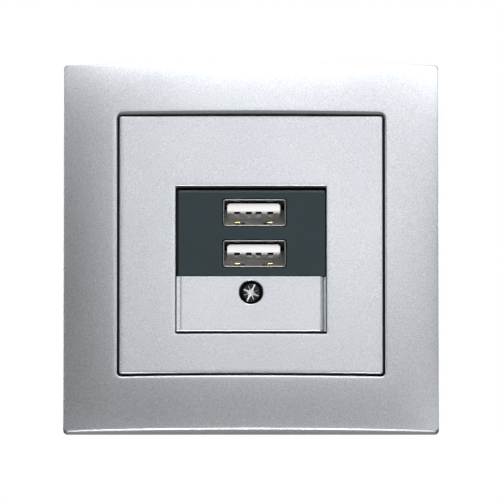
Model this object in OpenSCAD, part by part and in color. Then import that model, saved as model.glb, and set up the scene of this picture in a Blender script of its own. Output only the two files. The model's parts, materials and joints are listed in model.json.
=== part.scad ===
// Flush-mounted double USB charging outlet: arched cover frame, square centre
// plate, two USB-A sockets, support ring with claws, and the mains adapter
// behind it. Millimetres. +Z up, front towards -Y, wall face at Y = 0.

/* [Cover frame] */
// Outer side of the square cover frame
frame_side = 78.4; // [76:0.2:82]
// Height of the frame's outer edge over the wall at the middle of a side
frame_edge = 5.8; // [5:0.1:6.5]
// How much lower the arched front is at the end of a side than at its middle
frame_arch = 2.4; // [1:0.1:2.6]
// Extra fall of the front as it rolls over to the outer edge
frame_roll = 0.6; // [0:0.1:1]
// Corner radius of the frame's outline
frame_corner = 0.9; // [0.5:0.1:3]

/* [Centre plate] */
// Side of the square centre plate
plate_side = 55; // [54.6:0.1:55.2]
// Height of the plate's front over the wall
plate_front = 6.4; // [6.2:0.1:6.8]
// Gap between the plate and the frame's window, each side
plate_gap = 0.6; // [0.4:0.05:0.7]
// Side of the square opening for the insert
opening_side = 31.6; // [31.4:0.1:32]
// Height of the middle of the opening, from the plate's middle
opening_z = -3.2; // [-3.5:0.1:-3]

/* [Cover screw] */
// Height of the cover screw, from the plate's middle
cover_screw_z = -10; // [-10.4:0.1:-9.9]
// Thread diameter of the cover screw
cover_screw_d = 2.5; // [2:0.1:2.6]
// Diameter of the cover screw's head
cover_head_d = 4.0; // [3.6:0.1:4.4]

/* [USB sockets] */
// Sideways place of the two sockets
port_x = 0.7; // [-0.8:0.1:0.8]
// Height of the middle of the upper socket
port_top_z = 7.1; // [6.9:0.05:7.2]
// Distance between the middles of the two sockets
port_pitch = 8.77; // [8.6:0.01:8.9]
// Width of a socket's metal shell
shell_w = 13.14; // [13.1:0.01:13.3]
// Height of a socket's metal shell
shell_h = 5.72; // [5.7:0.01:5.9]
// Sheet thickness of the shell
shell_t = 0.3; // [0.2:0.05:0.35]

/* [Wall box and ring] */
// Side of the square support ring
ring_side = 71; // [70:0.5:72]
// Sheet thickness of the support ring
ring_t = 1.2; // [1:0.1:1.2]
// Distance between the two box screws
box_pitch = 60; // [58:1:62]
// Radius of the box screw holes
box_hole_r = 1.7; // [1.6:0.1:2]
// End-to-end length of the slotted box screw holes
box_slot = 6.6; // [5:0.2:7]

/* [Adapter housing] */
// Width of the housing behind the ring
house_w = 38; // [38:0.5:38.5]
// Height of the housing behind the ring
house_h = 44; // [44:0.5:45]
// Depth of the housing behind the wall face
house_d = 28; // [28:0.5:30]
// Wall thickness of the housing
house_wall = 1.5; // [1.2:0.1:1.5]

/* [Claws] */
// Sideways place of the claws' pivots
claw_pivot_x = 20.6; // [20.6:0.1:20.8]
// Sideways place of the claw screws
claw_screw_x = 23.6; // [23.5:0.1:23.7]
// Height of a claw
claw_h = 10; // [8:0.5:10]

/* [Hidden] */

silver = [0.80, 0.82, 0.85];
anthracite = [0.22, 0.26, 0.28];
steel = [0.62, 0.63, 0.65];
black = [0.09, 0.09, 0.10];
board_green = [0.10, 0.36, 0.22];
gold = [0.83, 0.66, 0.30];
brass = [0.75, 0.60, 0.28];

R = frame_side / 2;
window_h = plate_side / 2 + plate_gap;    // half of the frame's window
ledge_h = plate_side / 2 - 0.7;           // half of the opening in the frame's ledge
ledge_top = 3.0;
port_low_z = port_top_z - port_pitch;
open_lo = opening_z - opening_side / 2;
open_hi = opening_z + opening_side / 2;
split_z = -6.55;                          // line between bezel and filler
bezel_front = 5.7;
filler_front = 5.9;
web_top = 4.6;                            // floor that carries the filler
seat = 3.9;                               // where the cover screw's head sits
usb_y = 9.5;                              // front of the socket board
main_y = 24;                              // front of the main board
board_t = 1.6;
post_x = 15;
post_z = 19.3;
pole_x = 4.5;
wire_y = 20.95;
wire_r = 1.2;
pole_z = -15.7;
claw_pivot_y = 4;

// ---- shared shapes ----

// rounded rectangle with true arcs
module rr(w, h, r) {
    square([w - 2 * r, h], center = true);
    square([w, h - 2 * r], center = true);
    for (sx = [-1, 1], sz = [-1, 1])
        translate([sx * (w / 2 - r), sz * (h / 2 - r)]) circle(r = r, $fn = 32);
}

// flat shape in the XZ plane, from height o0 to o1 over the wall
module raise(o0, o1) {
    translate([0, -o0, 0]) rotate([90, 0, 0]) linear_extrude(height = o1 - o0) children();
}

// box given by x, height over the wall, and z limits
module slab(x0, x1, o0, o1, z0, z1) {
    translate([x0, -o1, z0]) cube([x1 - x0, o1 - o0, z1 - z0]);
}

// box given by x, depth behind the wall, and z limits
module block(x0, x1, y0, y1, z0, z1) {
    translate([x0, y0, z0]) cube([x1 - x0, y1 - y0, z1 - z0]);
}

// round bar along Y
module bar_y(x, z, r, y0, y1, fn = 40) {
    translate([x, y0, z]) rotate([-90, 0, 0]) cylinder(r = r, h = y1 - y0, $fn = fn);
}

// round bar along Z
module bar_z(x, y, r, z0, z1, fn = 40) {
    translate([x, y, z0]) cylinder(r = r, h = z1 - z0, $fn = fn);
}

// ---- cover frame: one swept shell whose front is doubly curved ----

function soft_max(x, z) = pow(pow(abs(x), 12) + pow(abs(z), 12), 1 / 12);
function front_at(x, z) = frame_edge + frame_arch + frame_roll
    - frame_arch * (x * x + z * z) / (R * R)
    - frame_roll * pow(soft_max(x, z) / R, 8);

ns = 14;
nc = 4;
nr = 4 * (ns + nc);
// point i of nr round a square of half side h with corner radius c
function turn(k, p) = k == 0 ? p : turn(k - 1, [-p[1], p[0]]);
function ring_pt(h, c, i) =
    let (k = floor(i / (ns + nc)), j = i - k * (ns + nc), a = j * 90 / nc)
    turn(k, j <= nc
        ? [h - c + c * cos(a), h - c + c * sin(a)]
        : [(h - c) * (1 - 2 * (j - nc) / ns), h]);

// section of the shell: half side, corner radius, true if on the front, height or drop
section = [
    [R, frame_corner, false, 0],
    [R, frame_corner, true, 0.30],
    [R - 0.10, frame_corner, true, 0.08],
    [R - 0.40, frame_corner + 0.1, true, 0],
    [R - 2.2, frame_corner + 0.4, true, 0],
    [R - 4.2, frame_corner + 0.6, true, 0],
    [R - 6.4, frame_corner + 0.8, true, 0],
    [R - 8.6, frame_corner + 0.9, true, 0],
    [window_h + 0.75, 1.9, true, 0],
    [window_h + 0.22, 1.4, true, 0.2],
    [window_h, 1.2, true, 0.7],
    [window_h, 1.2, false, ledge_top],
    [ledge_h, 1.0, false, ledge_top],
    [ledge_h, 1.0, false, 1.5],
    [window_h + 1.75, 1.6, false, 1.5],
    [window_h + 2.2, 1.8, true, 2.1],
    [R - 2.2, 0.8, true, 2.1],
    [R - 1.7, 0.6, false, 0]
];
nk = len(section);

module cover_frame() {
    pts = [for (k = [0 : nk - 1], i = [0 : nr - 1])
        let (s = section[k], p = ring_pt(s[0], s[1], i))
        [p[0], -(s[2] ? front_at(p[0], p[1]) - s[3] : s[3]), p[1]]];
    faces = [for (k = [0 : nk - 1], i = [0 : nr - 1], t = [0, 1])
        let (k2 = (k + 1) % nk, i2 = (i + 1) % nr,
            a = k * nr + i, b = k * nr + i2, c = k2 * nr + i2, d = k2 * nr + i)
        t == 0 ? [a, c, b] : [a, d, c]];
    color(silver) polyhedron(points = pts, faces = faces, convexity = 6);
}

// ---- centre plate and what is on it ----

module centre_plate() {
    color(silver) difference() {
        union() {
            difference() {
                raise(plate_front - 2, plate_front) rr(plate_side, plate_side, 0.9);
                translate([0, 0, opening_z]) raise(0, 10) rr(opening_side, opening_side, 0.4);
            }
            raise(ledge_top + 0.1, plate_front - 2) difference() {
                rr(plate_side, plate_side, 0.9);
                rr(plate_side - 2.4, plate_side - 2.4, 0.5);
            }
            slab(-opening_side / 2 - 1.2, opening_side / 2 + 1.2, 3.6, web_top, open_lo - 1.4, split_z - 0.35);
            bar_y(0, cover_screw_z, 2.95, -web_top, -3.0);
        }
        bar_y(0, cover_screw_z, 2.3, -web_top - 1, -seat);
        bar_y(0, cover_screw_z, cover_screw_d / 2 + 0.2, -web_top - 1, 0);
        // slots for the filler's hooks
        for (s = [-1, 1]) slab(s * 12 - 1.6, s * 12 + 1.6, 3, 5, -16.1, -14.9);
    }
}

module filler_insert() {
    color(silver) difference() {
        union() {
            translate([0, 0, (open_lo + 0.3 + split_z - 0.1) / 2])
                raise(web_top, filler_front) rr(opening_side - 0.4, split_z - 0.1 - open_lo - 0.3, 0.3);
            // hooks that hold it on the plate
            for (s = [-1, 1]) {
                slab(s * 12 - 1.4, s * 12 + 1.4, 3.2, web_top + 0.1, -15.9, -15.2);
                slab(s * 12 - 1.4, s * 12 + 1.4, 3.2, 3.55, -16.5, -15.2);
            }
        }
        bar_y(0, cover_screw_z, 2.5, -filler_front - 1, 0);
    }
}

module cover_screw() {
    color(steel) difference() {
        union() {
            bar_y(0, cover_screw_z, cover_head_d / 2, -seat - 1.5, -seat);
            bar_y(0, cover_screw_z, cover_screw_d / 2, -seat - 0.2, 4.2);
        }
        for (a = [0, 45, 90, 135])
            translate([0, 0, cover_screw_z]) rotate([0, a, 0])
                slab(-1.35, 1.35, seat + 0.8, seat + 2, -0.2, 0.2);
        translate([0, 0, cover_screw_z]) slab(-2.2, 2.2, seat + 1.1, seat + 2, -0.3, 0.3);
    }
}

// ---- insert front ----

module port_holes(w, h, r, o0, o1) {
    for (z = [port_low_z, port_top_z])
        translate([port_x, 0, z]) raise(o0, o1) rr(w, h, r);
}

bezel_x0 = -opening_side / 2 + 0.55;
bezel_x1 = opening_side / 2 - 0.25;
bezel_z0 = split_z + 0.1;
bezel_z1 = open_hi - 0.65;
module usb_bezel() {
    color(anthracite) difference() {
        union() {
            translate([(bezel_x0 + bezel_x1) / 2, 0, (bezel_z0 + bezel_z1) / 2])
                raise(3.7, bezel_front) rr(bezel_x1 - bezel_x0, bezel_z1 - bezel_z0, 0.35);
            // legs that snap into the chassis
            for (x = [-12.5, 13]) slab(x - 1.2, x + 1.2, 1.7, 3.8, 1.6, 3.2);
        }
        port_holes(shell_w + 0.36, shell_h + 0.36, 0.7, 3, 7);
    }
}

module front_chassis() {
    color(black) difference() {
        union() {
            raise(ring_t, 2.4) rr(31, 36, 1);
            for (s = [-1, 1])
                translate([0, 0, s * 19.1]) raise(ring_t, 2.4) rr(39, 5.8, 1.5);
            slab(bezel_x0 + 0.1, bezel_x1 - 0.1, 2.3, 3.7, split_z + 0.2, open_hi - 0.8);
            raise(-1.5, ring_t + 0.1) difference() {
                rr(33.2, 33.2, 1.6);
                rr(30.8, 30.8, 0.6);
            }
            raise(ring_t, 2.0) rr(33.2, 33.2, 1.6);
            bar_y(0, cover_screw_z, 3.3, -2.8, 4);
        }
        port_holes(shell_w + 0.3, shell_h + 0.3, 0.7, -3, 7);
        bar_y(0, cover_screw_z, 2.1, -2.8 - 1, 5);
        for (sx = [-1, 1], sz = [-1, 1]) bar_y(sx * post_x, sz * post_z, 1.2, -4, 1);
        for (x = [-12.5, 13]) slab(x - 1.35, x + 1.35, 1.0, 4, 1.45, 3.35);
    }
}

module screw_bush() {
    color(brass) difference() {
        union() {
            bar_y(0, cover_screw_z, 2.1, -2.6, 3.8);
        }
        bar_y(0, cover_screw_z, cover_screw_d / 2 + 0.05, -4, 5);
    }
}

// ---- support ring, housing and their screws ----

module ring_lugs(s) {
    for (sz = [-1, 1])
        difference() {
            block(s > 0 ? 19.3 : -22, s > 0 ? 22 : -19.3, -ring_t, 5.4,
                sz > 0 ? claw_h / 2 + 0.5 : -claw_h / 2 - 1.5,
                sz > 0 ? claw_h / 2 + 1.5 : -claw_h / 2 - 0.5);
            bar_z(s * claw_pivot_x, claw_pivot_y, 0.78, -claw_h, claw_h);
        }
}

module support_ring() {
    color(steel) {
        raise(0, ring_t) difference() {
            rr(ring_side, ring_side, 3);
            rr(34, 34, 2);
            // box screw slots, side to side
            for (s = [-1, 1]) {
                translate([s * box_pitch / 2, 0]) {
                    square([box_slot - 2 * box_hole_r, 2 * box_hole_r], center = true);
                    for (e = [-1, 1])
                        translate([e * (box_slot / 2 - box_hole_r), 0]) circle(r = box_hole_r, $fn = 40);
                }
                // box screw holes, above and below
                translate([0, s * box_pitch / 2]) circle(r = box_hole_r, $fn = 40);
                // notches for the claw screws
                translate([s * 20.3, 0]) square([6.7, 3.6], center = true);
                translate([s * claw_screw_x, 0]) circle(r = 1.8, $fn = 40);
                // openings for the lugs' bends and lightening holes in the corners
                for (t = [-1, 1]) translate([s * 28, t * 28]) circle(r = 2.2, $fn = 40);
            }
            for (sx = [-1, 1], sz = [-1, 1])
                translate([sx * post_x, sz * post_z]) circle(r = 1.25, $fn = 40);
        }
        for (s = [-1, 1]) ring_lugs(s);
    }
}

module rear_housing() {
    iw = house_w - 2 * house_wall;
    ih = house_h - 2 * house_wall;
    color(black) difference() {
        union() {
            difference() {
                raise(-house_d, 0) rr(house_w, house_h, 4);
                raise(-house_d + house_wall, 1) rr(iw, ih, 2.6);
            }
            for (sx = [-1, 1], sz = [-1, 1])
                bar_y(sx * post_x, sz * post_z, 2.6, 0, house_d - 1);
            // ledges under the main board
            for (sx = [-1, 1], z = [-6, 8])
                block(sx > 0 ? 15.2 : -house_w / 2 + 0.5, sx > 0 ? house_w / 2 - 0.5 : -15.2,
                    main_y + board_t, house_d - 1, z, z + 4);
        }
        for (sx = [-1, 1], sz = [-1, 1])
            bar_y(sx * post_x, sz * post_z, 1.1, -1, 15);
        // opening for the terminal block, and for the wires below it
        block(-9.2, 9.2, house_d - 3, house_d + 1, -20.5, -11);
        block(-8.2, 8.2, 17.8, 24.2, -house_h / 2 - 1, -20.4);
        // vents in the top
        for (x = [-10 : 4 : 10]) block(x - 0.8, x + 0.8, 13, 23, 19, house_h / 2 + 1);
    }
}

module housing_screws() {
    color(steel) for (sx = [-1, 1], sz = [-1, 1])
        difference() {
            union() {
                bar_y(sx * post_x, sz * post_z, 1.9, -3.4, -2.4);
                bar_y(sx * post_x, sz * post_z, 1.08, -2.6, 14);
            }
            for (a = [0, 90]) translate([sx * post_x, 0, sz * post_z]) rotate([0, a, 0])
                slab(-1.1, 1.1, 2.8, 4, -0.2, 0.2);
        }
}

// ---- USB sockets: z is the middle of the socket ----

module usb_shell(z) {
    color(steel) difference() {
        union() {
            translate([port_x, 0, z]) raise(-usb_y + 0.1, 5.6) rr(shell_w, shell_h, 0.62);
            // feet that are soldered to the board
            for (s = [-1, 1], e = [-1.6, 1.6])
                translate([port_x + s * (shell_w / 2 - shell_t / 2), 0, z + e])
                    block(-shell_t / 2, shell_t / 2, usb_y - 1, usb_y + board_t + 0.9, -0.6, 0.6);
        }
        translate([port_x, 0, z]) raise(-usb_y + 0.1 - 0.5, 7)
            rr(shell_w - 2 * shell_t, shell_h - 2 * shell_t, 0.36);
        translate([port_x, 0, z])
            block(-shell_w / 2 + shell_t, shell_w / 2 - shell_t, usb_y - 2, usb_y + 6, -3, 3);
    }
}

tongue_z = 1.26;
tongue_h = 1.84;
contact_dx = [-3.5, -1, 1, 3.5];
module usb_tongue(z) {
    color([0.95, 0.95, 0.93]) translate([port_x - 0.15, 0, z + tongue_z])
        raise(-3, 4.8) polygon([[-5.55, -0.92], [5.55, -0.92], [5.55, 0.5], [5.1, 0.92], [-5.1, 0.92], [-5.55, 0.5]]);
}

module usb_contacts(z) {
    zt = z + tongue_z - tongue_h / 2;
    color(gold) for (dx = contact_dx)
        translate([port_x - 0.15 + dx, 0, zt]) {
            block(-0.5, 0.5, -4.2, 3.2, -0.32, -0.02);
            block(-0.4, 0.4, 3.2, usb_y + board_t + 0.9, -0.32, -0.02);
        }
}

module usb_insulator(z) {
    zt = z + tongue_z - tongue_h / 2;
    color([0.35, 0.36, 0.37]) difference() {
        translate([port_x, 0, z]) raise(-usb_y + 0.1, -3) rr(shell_w - 2 * shell_t - 0.04, shell_h - 2 * shell_t - 0.04, 0.34);
        for (dx = contact_dx)
            translate([port_x - 0.15 + dx, 0, zt]) block(-0.55, 0.55, 2, usb_y + 1, -0.37, 0.03);
    }
}

module usb_springs(z) {
    zb = z - shell_h / 2 + shell_t;
    color(gold) for (dx = [-3.55, 3.3])
        translate([port_x + dx + 0.5, 0, zb]) rotate([0, -90, 0]) linear_extrude(height = 1.0)
            polygon([[0.01, 1.5], [0.01, -0.8], [0.85, -3.9], [0.45, -4.9], [0.60, -4.9],
                [1.00, -3.9], [0.16, -0.8], [0.16, 1.5]]);
}

// ---- boards and their parts ----

module usb_board() {
    color(board_green) difference() {
        block(-16.8, 16.8, usb_y, usb_y + board_t, -16, 16);
        for (z = [port_low_z, port_top_z]) {
            for (s = [-1, 1], e = [-1.6, 1.6])
                translate([port_x + s * (shell_w / 2 - shell_t / 2), 0, z + e])
                    block(-0.35, 0.35, usb_y - 1, usb_y + board_t + 1, -0.8, 0.8);
            for (dx = contact_dx)
                bar_y(port_x - 0.15 + dx, z + tongue_z - tongue_h / 2 - 0.17, 0.6, usb_y - 1, usb_y + board_t + 1, 24);
        }
        for (i = [0 : 5]) bar_y(-6.35 + 2.54 * i, 14.6, 0.4, usb_y - 1, usb_y + board_t + 1, 24);
    }
}

module main_board() {
    color(board_green) difference() {
        block(-16.8, 16.8, main_y, main_y + board_t, -10.5, 16.2);
        for (i = [0 : 5]) bar_y(-6.35 + 2.54 * i, 14.6, 0.4, main_y - 1, main_y + board_t + 1, 24);
    }
}

module board_pins() {
    color(gold) for (i = [0 : 5]) bar_y(-6.35 + 2.54 * i, 14.6, 0.32, usb_y - 0.6, main_y + board_t + 0.4, 24);
}

module charge_controller() {
    color(black) block(-11, -6, usb_y + board_t, usb_y + board_t + 1.1, -12.5, -7.5);
}

tr_x = 6.5;
tr_z = 8.3;
module transformer_core() {
    color([0.20, 0.20, 0.21]) difference() {
        block(tr_x - 8, tr_x + 8, 12.4, 23.8, tr_z - 2.8, tr_z + 2.8);
        for (s = [-1, 1])
            block(s > 0 ? tr_x + 2.5 : tr_x - 5.8, s > 0 ? tr_x + 5.8 : tr_x - 2.5, 14.4, 21.8, tr_z - 4, tr_z + 4);
    }
}

module transformer_winding() {
    color([0.78, 0.62, 0.20]) difference() {
        bar_y(tr_x, tr_z, 5.6, 14.6, 21.6, 48);
        bar_y(tr_x, tr_z, 3.9, 14, 22, 48);
    }
}

// can on the main board: place, radius, length
module can(x, z, r, l) {
    bar_y(x, z, r, main_y - l, main_y - 0.5, 40);
    bar_y(x, z, r - 0.4, main_y - 0.6, main_y, 40);
}

module input_capacitors() {
    color([0.12, 0.14, 0.20]) { can(-12, 11.2, 3.9, 11.4); can(-12, 3, 3.9, 11.4); }
}

module output_capacitors() {
    color([0.10, 0.22, 0.30]) { can(12.8, -2.1, 3.1, 11); can(5.8, -6.6, 3.1, 11); }
}

module bridge_rectifier() {
    color(black) block(-15.5, -9.5, 16, main_y, -3.4, -1.4);
}

module switching_ic() {
    color(black) block(-6.4, -1.8, main_y - 1.7, main_y, 0, 4);
}

module optocoupler() {
    color([0.90, 0.90, 0.88]) block(0, 4.4, main_y - 3.5, main_y, -2.6, 1.4);
}

module fuse() {
    color([0.30, 0.18, 0.12]) can(-4.3, -6.3, 3.6, 8.5);
}

module varistor() {
    color([0.20, 0.35, 0.60]) {
        translate([-14, 19.6, -7]) rotate([0, 90, 0]) cylinder(r = 3.3, h = 3.5, $fn = 40);
        for (z = [-8.6, -5.4]) bar_y(-12.2, z, 0.3, 19.6, main_y, 24);
    }
}

module input_choke() {
    color([0.25, 0.25, 0.26]) {
        for (y = [14, main_y - 1.2]) bar_y(14.2, -8, 2.3, y, y + 1.2, 40);
        bar_y(14.2, -8, 1.9, 14, main_y, 40);
    }
}

// ---- mains terminals: x is the pole's place ----

module terminal_block() {
    color([0.86, 0.86, 0.84]) difference() {
        block(-9, 9, 16.5, house_d - 0.1, -20.4, -11.2);
        for (x = [-pole_x, pole_x]) {
            block(x - 2.9, x + 2.9, 18.3, 26, -18.4, -12.9);
            bar_y(x, pole_z, 1.4, 25, 29);
            bar_y(x, pole_z, 2.1, 26.6, 29);
            bar_z(x, wire_y, wire_r, -22, -18);
            // slot for the contact bar
            block(x - 1.8, x + 1.8, 22.1, 23.1, -13.5, -11);
        }
    }
}

module cage(x) {
    color([0.80, 0.78, 0.70]) difference() {
        block(x - 2.6, x + 2.6, 18.8, 24.4, pole_z - 2.5, pole_z + 2.5);
        block(x - 1.9, x + 1.9, 19.7, 23.5, pole_z - 4, pole_z + 4);
        bar_y(x, pole_z, 1.3, 22, 26);
    }
}

module terminal_screw(x) {
    color(steel) difference() {
        union() {
            bar_y(x, pole_z, 1.25, 23.15, 26.8);
            bar_y(x, pole_z, 1.9, 26.65, 27.8);
        }
        block(x - 2, x + 2, 27.1, 29, pole_z - 0.25, pole_z + 0.25);
    }
}

module contact_bars() {
    color(brass) for (x = [-pole_x, pole_x])
        block(x - 1.7, x + 1.7, 22.2, 23.0, pole_z - 2.5, -10.6);
}

// ---- claws: s is the side, +1 right and -1 left ----

module claw(s) {
    px = s * claw_pivot_x;
    h = claw_h / 2;
    color(steel) difference() {
        union() {
            bar_z(px, claw_pivot_y, 0.72, -h - 1.7, h + 1.7);
            bar_z(px, claw_pivot_y, 1.1, -h + 0.2, h - 0.2);
            block(s > 0 ? claw_pivot_x - 0.6 : -claw_pivot_x - 0.6,
                s > 0 ? claw_pivot_x + 0.6 : -claw_pivot_x + 0.6, claw_pivot_y, 20, -h, h);
            block(s > 0 ? claw_pivot_x : -claw_pivot_x - 5.2,
                s > 0 ? claw_pivot_x + 5.2 : -claw_pivot_x, 12.6, 13.8, -h + 1, h - 1);
            // toothed end
            for (t = [0 : 3])
                translate([px, 18.8, -h + t * claw_h / 4]) rotate([90, 0, 0]) mirror([0, 0, 1])
                    linear_extrude(height = 1.2)
                        polygon([[0, 0], [s * 2.8, 0], [s * 3.9, claw_h / 8], [s * 2.8, claw_h / 4], [0, claw_h / 4]]);
        }
        bar_y(s * claw_screw_x, 0, 1.55, 11, 15);
    }
}

module claw_screw(s) {
    x = s * claw_screw_x;
    color(steel) difference() {
        union() {
            bar_y(x, 0, 2.5, -2.5, -1.3);
            bar_y(x, 0, 1.5, -1.5, 16.5);
        }
        translate([x, 0, 0]) slab(-3, 3, 1.9, 4, -0.35, 0.35);
        translate([x, 0, 0]) slab(-0.35, 0.35, 1.9, 4, -1.6, 1.6);
    }
}

// ---- what is drawn ----

cover_frame();
centre_plate();
filler_insert();
cover_screw();
usb_bezel();
front_chassis();
screw_bush();
support_ring();
rear_housing();
housing_screws();
usb_shell(port_top_z);  // usb_shell_upper
usb_shell(port_low_z);  // usb_shell_lower
usb_tongue(port_top_z);  // usb_tongue_upper
usb_tongue(port_low_z);  // usb_tongue_lower
usb_contacts(port_top_z);  // usb_contacts_upper
usb_contacts(port_low_z);  // usb_contacts_lower
usb_insulator(port_top_z);  // usb_insulator_upper
usb_insulator(port_low_z);  // usb_insulator_lower
usb_springs(port_top_z);  // usb_springs_upper
usb_springs(port_low_z);  // usb_springs_lower
usb_board();
main_board();
board_pins();
charge_controller();
transformer_core();
transformer_winding();
input_capacitors();
output_capacitors();
bridge_rectifier();
switching_ic();
optocoupler();
fuse();
varistor();
input_choke();
terminal_block();
cage(-pole_x);  // live_cage
cage(pole_x);  // neutral_cage
terminal_screw(-pole_x);  // live_screw
terminal_screw(pole_x);  // neutral_screw
contact_bars();
claw(-1);  // left_claw
claw(1);  // right_claw
claw_screw(-1);  // left_claw_screw
claw_screw(1);  // right_claw_screw
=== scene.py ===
import bpy, bmesh, math, json
import numpy as np
from mathutils import Vector, Matrix


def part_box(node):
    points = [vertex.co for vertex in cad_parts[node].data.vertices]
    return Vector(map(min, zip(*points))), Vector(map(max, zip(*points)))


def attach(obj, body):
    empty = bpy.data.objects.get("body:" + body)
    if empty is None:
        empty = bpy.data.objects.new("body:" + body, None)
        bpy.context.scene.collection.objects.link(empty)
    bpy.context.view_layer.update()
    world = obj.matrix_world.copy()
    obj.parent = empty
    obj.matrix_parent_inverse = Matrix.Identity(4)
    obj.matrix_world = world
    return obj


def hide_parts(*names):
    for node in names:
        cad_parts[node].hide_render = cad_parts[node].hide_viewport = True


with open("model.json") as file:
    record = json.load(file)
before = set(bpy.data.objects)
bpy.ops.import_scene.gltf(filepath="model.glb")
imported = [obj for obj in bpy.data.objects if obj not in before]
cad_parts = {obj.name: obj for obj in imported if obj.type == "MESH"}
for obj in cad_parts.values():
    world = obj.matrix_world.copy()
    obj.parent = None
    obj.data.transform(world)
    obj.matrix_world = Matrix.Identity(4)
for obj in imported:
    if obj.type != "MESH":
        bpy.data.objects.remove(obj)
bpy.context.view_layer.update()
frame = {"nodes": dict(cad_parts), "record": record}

MM = 0.001
scene = bpy.context.scene
record = frame["record"]

# ------------------------------------------------------------------ sizes
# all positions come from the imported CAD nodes
def nb(n):
    lo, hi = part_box(n)
    return np.array(lo) / MM, np.array(hi) / MM

f_lo, f_hi = nb("cover_frame")
p_lo, p_hi = nb("centre_plate")
fi_lo, fi_hi = nb("filler_insert")
be_lo, be_hi = nb("usb_bezel")
sc_lo, sc_hi = nb("cover_screw")
R = f_hi[0]                      # half side of the cover frame
PLATE_H = p_hi[0]                # half side of the centre plate
WIN = PLATE_H + 0.50             # half of the frame's window, at the lower and side walls
PLATE_DZ = 0.19                  # the plate hangs a little above the middle of its play
WIN_TOP = WIN + 0.14
PLATE_TOP = -p_lo[1]             # front of the plate over the wall
EDGE, ARCH, ROLL = 5.8, 2.4, 0.6
OPEN_H = 15.8
OPEN_Z = -3.2
SCREW_Z = (sc_lo[2] + sc_hi[2]) / 2

# ------------------------------------------------------------------ mesh helpers
def link(name, me):
    o = bpy.data.objects.new(name, me)
    scene.collection.objects.link(o)
    return o

def mesh_from(name, verts, faces, smooth=True, sharp=35):
    me = bpy.data.meshes.new(name)
    me.from_pydata([tuple(v) for v in verts], [], faces)
    me.validate()
    bm = bmesh.new()
    bm.from_mesh(me)
    bmesh.ops.recalc_face_normals(bm, faces=bm.faces)
    for f in bm.faces:
        f.smooth = smooth
    bm.to_mesh(me)
    bm.free()
    if smooth:
        try:
            me.set_sharp_from_angle(angle=math.radians(sharp))
        except Exception:
            pass
    return me

def ring_pts(hx, hz, c, ns, nc, cx=0.0, cz=0.0):
    """points round a rounded rectangle of half sides hx, hz, in the XZ plane"""
    pts = []
    c = max(min(c, hx * 0.999, hz * 0.999), 1e-4)
    corners = [(1, 1, 0), (-1, 1, 90), (-1, -1, 180), (1, -1, 270)]
    n = len(corners)
    for k in range(n):
        sx, sz, a0 = corners[k]
        ccx, ccz = sx * (hx - c), sz * (hz - c)
        arc = [(ccx + c * math.cos(math.radians(a0 + 90 * j / nc)),
                ccz + c * math.sin(math.radians(a0 + 90 * j / nc))) for j in range(nc + 1)]
        pts += arc
        sx2, sz2, a2 = corners[(k + 1) % n]
        nxt = (sx2 * (hx - c) + c * math.cos(math.radians(a2)),
               sz2 * (hz - c) + c * math.sin(math.radians(a2)))
        for j in range(1, ns):
            f = j / ns
            pts.append((arc[-1][0] * (1 - f) + nxt[0] * f, arc[-1][1] * (1 - f) + nxt[1] * f))
    return [(x + cx, z + cz) for x, z in pts]

def sweep(name, sections, ns, nc, closed=True, smooth=True, sharp=35):
    """sections: list of (hx, hz, c, cx, cz, height) where height is a number or a function of x, z.
    Returns the mesh of the surface swept through them. Sizes in mm, out of the wall is -Y."""
    verts, faces = [], []
    for (hx, hz, c, cx, cz, h) in sections:
        for (x, z) in ring_pts(hx, hz, c, ns, nc, cx, cz):
            y = h(x, z) if callable(h) else h
            verts.append((x * MM, -y * MM, z * MM))
    n = len(ring_pts(1, 1, 0.1, ns, nc))
    m = len(sections)
    for k in range(m if closed else m - 1):
        k2 = (k + 1) % m
        for i in range(n):
            i2 = (i + 1) % n
            faces.append((k * n + i, k * n + i2, k2 * n + i2, k2 * n + i))
    return mesh_from(name, verts, faces, smooth, sharp)

def join(name, parts):
    """joins mesh datablocks into one object"""
    bm = bmesh.new()
    for me in parts:
        bm.from_mesh(me)
    me = bpy.data.meshes.new(name)
    bm.to_mesh(me)
    bm.free()
    return link(name, me)

def lathe_y(name, profile, cx, cz, seg=64, cap=True, sharp=35):
    """profile: list of (r, height over the wall) in mm, revolved round an axis along Y"""
    verts, faces = [], []
    rings = []
    for (r, h) in profile:
        if r < 1e-6:
            rings.append([len(verts)])
            verts.append((cx * MM, -h * MM, cz * MM))
        else:
            ids = []
            for i in range(seg):
                a = 2 * math.pi * i / seg
                ids.append(len(verts))
                verts.append(((cx + r * math.cos(a)) * MM, -h * MM, (cz + r * math.sin(a)) * MM))
            rings.append(ids)
    for a, b in zip(rings, rings[1:]):
        if len(a) == 1 and len(b) == 1:
            continue
        for i in range(seg):
            i2 = (i + 1) % seg
            if len(a) == 1:
                faces.append((a[0], b[i], b[i2]))
            elif len(b) == 1:
                faces.append((a[i], a[i2], b[0]))
            else:
                faces.append((a[i], a[i2], b[i2], b[i]))
    return mesh_from(name, verts, faces, True, sharp)

def box_mesh(name, x0, x1, y0, y1, z0, z1, bevel=0.0, seg=2):
    """box in mm; y is depth behind the wall"""
    bm = bmesh.new()
    bmesh.ops.create_cube(bm, size=1)
    bmesh.ops.scale(bm, vec=((x1 - x0) * MM, (y1 - y0) * MM, (z1 - z0) * MM), verts=bm.verts)
    bmesh.ops.translate(bm, vec=((x0 + x1) / 2 * MM, (y0 + y1) / 2 * MM, (z0 + z1) / 2 * MM), verts=bm.verts)
    if bevel > 0:
        bmesh.ops.bevel(bm, geom=bm.edges[:], offset=bevel * MM, segments=seg, profile=0.5, affect="EDGES")
    for f in bm.faces:
        f.smooth = True
    me = bpy.data.meshes.new(name)
    bm.to_mesh(me)
    bm.free()
    try:
        me.set_sharp_from_angle(angle=math.radians(40))
    except Exception:
        pass
    return me

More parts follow.
